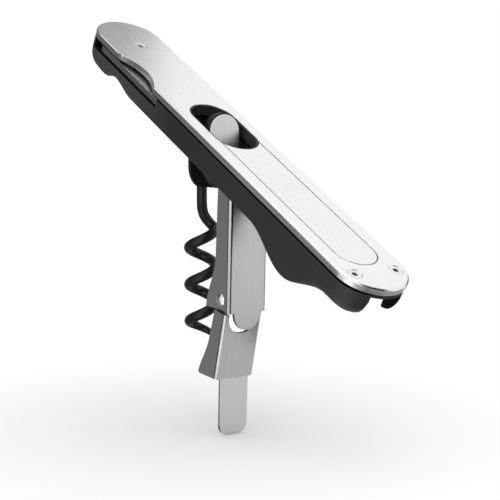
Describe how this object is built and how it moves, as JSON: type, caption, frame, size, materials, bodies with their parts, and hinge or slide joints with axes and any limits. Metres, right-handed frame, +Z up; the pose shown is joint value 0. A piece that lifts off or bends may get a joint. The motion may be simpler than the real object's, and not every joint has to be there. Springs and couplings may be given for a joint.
{
  "type": "corkscrew",
  "caption": "Folding push-pull corkscrew: steel-topped handle with foil blade, thumb scallop and window, stepped lever with rim tab, and a coated worm on a push hub.",
  "frame": {"origin": "centre of the bottle's rim at the height of the rim's top, on the pull axis", "axes": "+Z up along the pull axis, +X towards the handle's low end, +Y across the handle, away from the side with the thumb scallop"},
  "size_m": [0.1176, 0.0186, 0.106],
  "materials": {
    "plate_steel": "brushed",
    "strip_steel": "brushed",
    "tape": "matte",
    "body_plastic": "matte",
    "screw_steel": "satin",
    "insert_brass": "satin",
    "pin_steel": "satin",
    "blade_steel": "satin",
    "lever_steel": "brushed",
    "rivet_steel": "polished",
    "hub_plastic": "satin",
    "worm_coat": "satin"
  },
  "bodies": {
    "handle": {"top_plate": "plate_steel", "inlay_strip": "strip_steel", "inlay_tape": "tape", "handle_body": "body_plastic", "end_screws": "screw_steel", "end_inserts": "insert_brass", "blade_screw": "screw_steel", "blade_insert": "insert_brass", "blade_bush": "insert_brass", "blade_washers": "pin_steel", "lever_pin": "pin_steel", "lever_washers": "pin_steel", "hub_pin": "pin_steel", "hub_spacers": "pin_steel"},
    "lever": {"upper_lever": "lever_steel", "lever_rivets": "rivet_steel"},
    "foot": {"lower_lever": "lever_steel"},
    "worm_unit": {"worm_hub": "hub_plastic", "push_plate": "strip_steel", "worm": "worm_coat"},
    "blade": {"foil_blade": "blade_steel"}
  },
  "joints": [
    {"name": "lever_swing", "type": "hinge", "parent": "handle", "child": "lever", "pos_m": [0.0199, 0, 0.05213], "axis": [0, 1, 0], "range_deg": [-63.6, 45]},
    {"name": "worm_swing", "type": "hinge", "parent": "handle", "child": "worm_unit", "pos_m": [0.00773, 0, 0.05927], "axis": [0, 1, 0], "range_deg": [-61.7, 43.7]},
    {"name": "foot_swing", "type": "hinge", "parent": "lever", "child": "foot", "pos_m": [0.01819, 0, 0.02047], "axis": [0, -1, 0], "range_deg": [0, 9]},
    {"name": "blade_swing", "type": "hinge", "parent": "handle", "child": "blade", "pos_m": [-0.02885, 0, 0.08117], "axis": [-0.475, 0, -0.88], "range_deg": [0, 90]}
  ],
  "couplings": [
    {"joint": "worm_swing", "follows": "lever_swing", "ratio": 0.9686}
  ]
}
